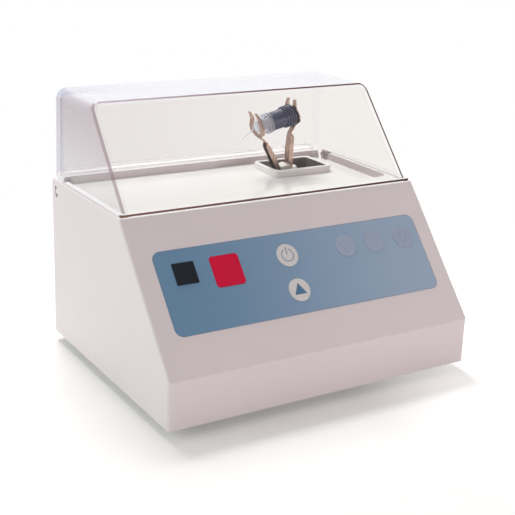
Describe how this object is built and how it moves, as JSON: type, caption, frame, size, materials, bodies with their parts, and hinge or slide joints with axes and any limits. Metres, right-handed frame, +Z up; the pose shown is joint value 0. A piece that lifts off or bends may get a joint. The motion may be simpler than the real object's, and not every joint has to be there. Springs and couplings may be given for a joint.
{
  "type": "dental amalgamator",
  "caption": "Desktop capsule mixer: wedge casing with a slanted keypad, clear hinged lid and a motor-driven wobble arm whose claws shake a capsule over a shallow deck.",
  "frame": {"origin": "middle of the bounding box at the table", "axes": "+X the operator's right, +Y the back, +Z up"},
  "size_m": [0.21, 0.17, 0.165],
  "materials": {
    "casing": "smooth satin moulding",
    "panel_film": "fine satin film",
    "window_red": "polished clear red",
    "black_badge": "gloss",
    "key_cream": "satin",
    "key_grey": "satin",
    "lid_clear": "polished clear smoke",
    "steel": "brushed",
    "zinc": "zinc plated",
    "bright_steel": "ground and polished",
    "nylon": "moulded",
    "rubber": "moulded",
    "board": "solder resist",
    "black_plastic": "fine spark texture",
    "cap_black": "gloss",
    "brass": "turned",
    "copper": "drawn",
    "iron": "laminated",
    "coil_tape": "tape",
    "ferrite": "sintered",
    "capsule_blue": "moulded",
    "capsule_clear": "clear",
    "glass_dark": "gloss"
  },
  "bodies": {
    "chassis": {"housing": "casing", "deck_plate": "casing", "base_plate": "zinc", "rubber_feet": "rubber", "foot_fasteners": "zinc", "base_screws": "zinc", "keypad_overlay": "panel_film", "display_window": "window_red", "blank_badge": "black_badge", "keypad_board": "board", "board_screws": "zinc", "tact_switches": "black_plastic", "display_module": "glass_dark", "main_board": "board", "board_standoffs": "brass", "board_components": "black_plastic", "transformer_core": "iron", "transformer_coil": "coil_tape", "motor_can": "zinc", "motor_end_cap": "black_plastic", "motor_terminals": "brass", "motor_magnets": "ferrite", "motor_bracket": "zinc", "motor_screws": "zinc", "vibration_mounts": "rubber", "mount_screws": "zinc", "torque_guide": "nylon", "mains_inlet": "black_plastic", "inlet_pins": "brass", "inlet_screws": "zinc", "fuse_holder": "black_plastic", "fuse_cap": "cap_black", "power_switch_body": "black_plastic", "lid_sensor": "glass_dark"},
    "lid": {"lid": "lid_clear", "hinge_pins": "bright_steel", "lid_magnet": "bright_steel"},
    "rotor": {"rotor_shaft": "bright_steel", "crank_hub": "steel", "hub_fasteners": "steel", "bearing_inner_race": "bright_steel", "armature": "iron", "commutator": "copper"},
    "cage": {"bearing_cage": "nylon", "bearing_balls": "bright_steel"},
    "holder": {"bearing_outer_race": "bright_steel", "holder": "nylon", "torque_pin": "bright_steel", "claw_left": "steel", "claw_right": "steel", "claw_fasteners": "zinc", "capsule_body": "capsule_blue", "capsule_cap": "capsule_clear", "capsule_plunger": "nylon"},
    "power_rocker": {"power_rocker": "cap_black"},
    "key_power": {"key_power": "key_cream"},
    "key_start": {"key_start": "key_cream"},
    "key_mode_1": {"key_mode_1": "key_grey"},
    "key_mode_2": {"key_mode_2": "key_grey"},
    "key_mode_3": {"key_mode_3": "key_grey"}
  },
  "joints": [
    {"name": "lid_hinge", "type": "hinge", "parent": "chassis", "child": "lid", "pos_m": [0, 0.0715, 0.1014], "axis": [-1, 0, 0], "range_deg": [0, 90]},
    {"name": "motor_spin", "type": "hinge", "parent": "chassis", "child": "rotor", "pos_m": [0.0578, 0.051, 0.078], "axis": [1, 0, 0], "continuous": true},
    {"name": "holder_wobble", "type": "hinge", "parent": "rotor", "child": "holder", "pos_m": [0.0578, 0.051, 0.078], "axis": [0.9715, 0, 0.2368], "continuous": true},
    {"name": "cage_roll", "type": "hinge", "parent": "rotor", "child": "cage", "pos_m": [0.0578, 0.051, 0.078], "axis": [0.9715, 0, 0.2368], "continuous": true},
    {"name": "power_rocker_tilt", "type": "hinge", "parent": "chassis", "child": "power_rocker", "pos_m": [-0.022, 0.0771, 0.036], "axis": [-1, 0, 0], "range_deg": [0, 18]},
    {"name": "key_power_press", "type": "slide", "parent": "chassis", "child": "key_power", "axis": [0, 0.7559, -0.6547], "range_m": [0, 0.0004], "stiffness_N_per_m": 250, "springref_m": -0.001},
    {"name": "key_start_press", "type": "slide", "parent": "chassis", "child": "key_start", "axis": [0, 0.7559, -0.6547], "range_m": [0, 0.0004], "stiffness_N_per_m": 250, "springref_m": -0.001},
    {"name": "key_mode_1_press", "type": "slide", "parent": "chassis", "child": "key_mode_1", "axis": [0, 0.7559, -0.6547], "range_m": [0, 0.0004], "stiffness_N_per_m": 250, "springref_m": -0.001},
    {"name": "key_mode_2_press", "type": "slide", "parent": "chassis", "child": "key_mode_2", "axis": [0, 0.7559, -0.6547], "range_m": [0, 0.0004], "stiffness_N_per_m": 250, "springref_m": -0.001},
    {"name": "key_mode_3_press", "type": "slide", "parent": "chassis", "child": "key_mode_3", "axis": [0, 0.7559, -0.6547], "range_m": [0, 0.0004], "stiffness_N_per_m": 250, "springref_m": -0.001}
  ],
  "couplings": [
    {"joint": "holder_wobble", "follows": "motor_spin", "ratio": -1},
    {"joint": "cage_roll", "follows": "motor_spin", "ratio": -0.618}
  ]
}
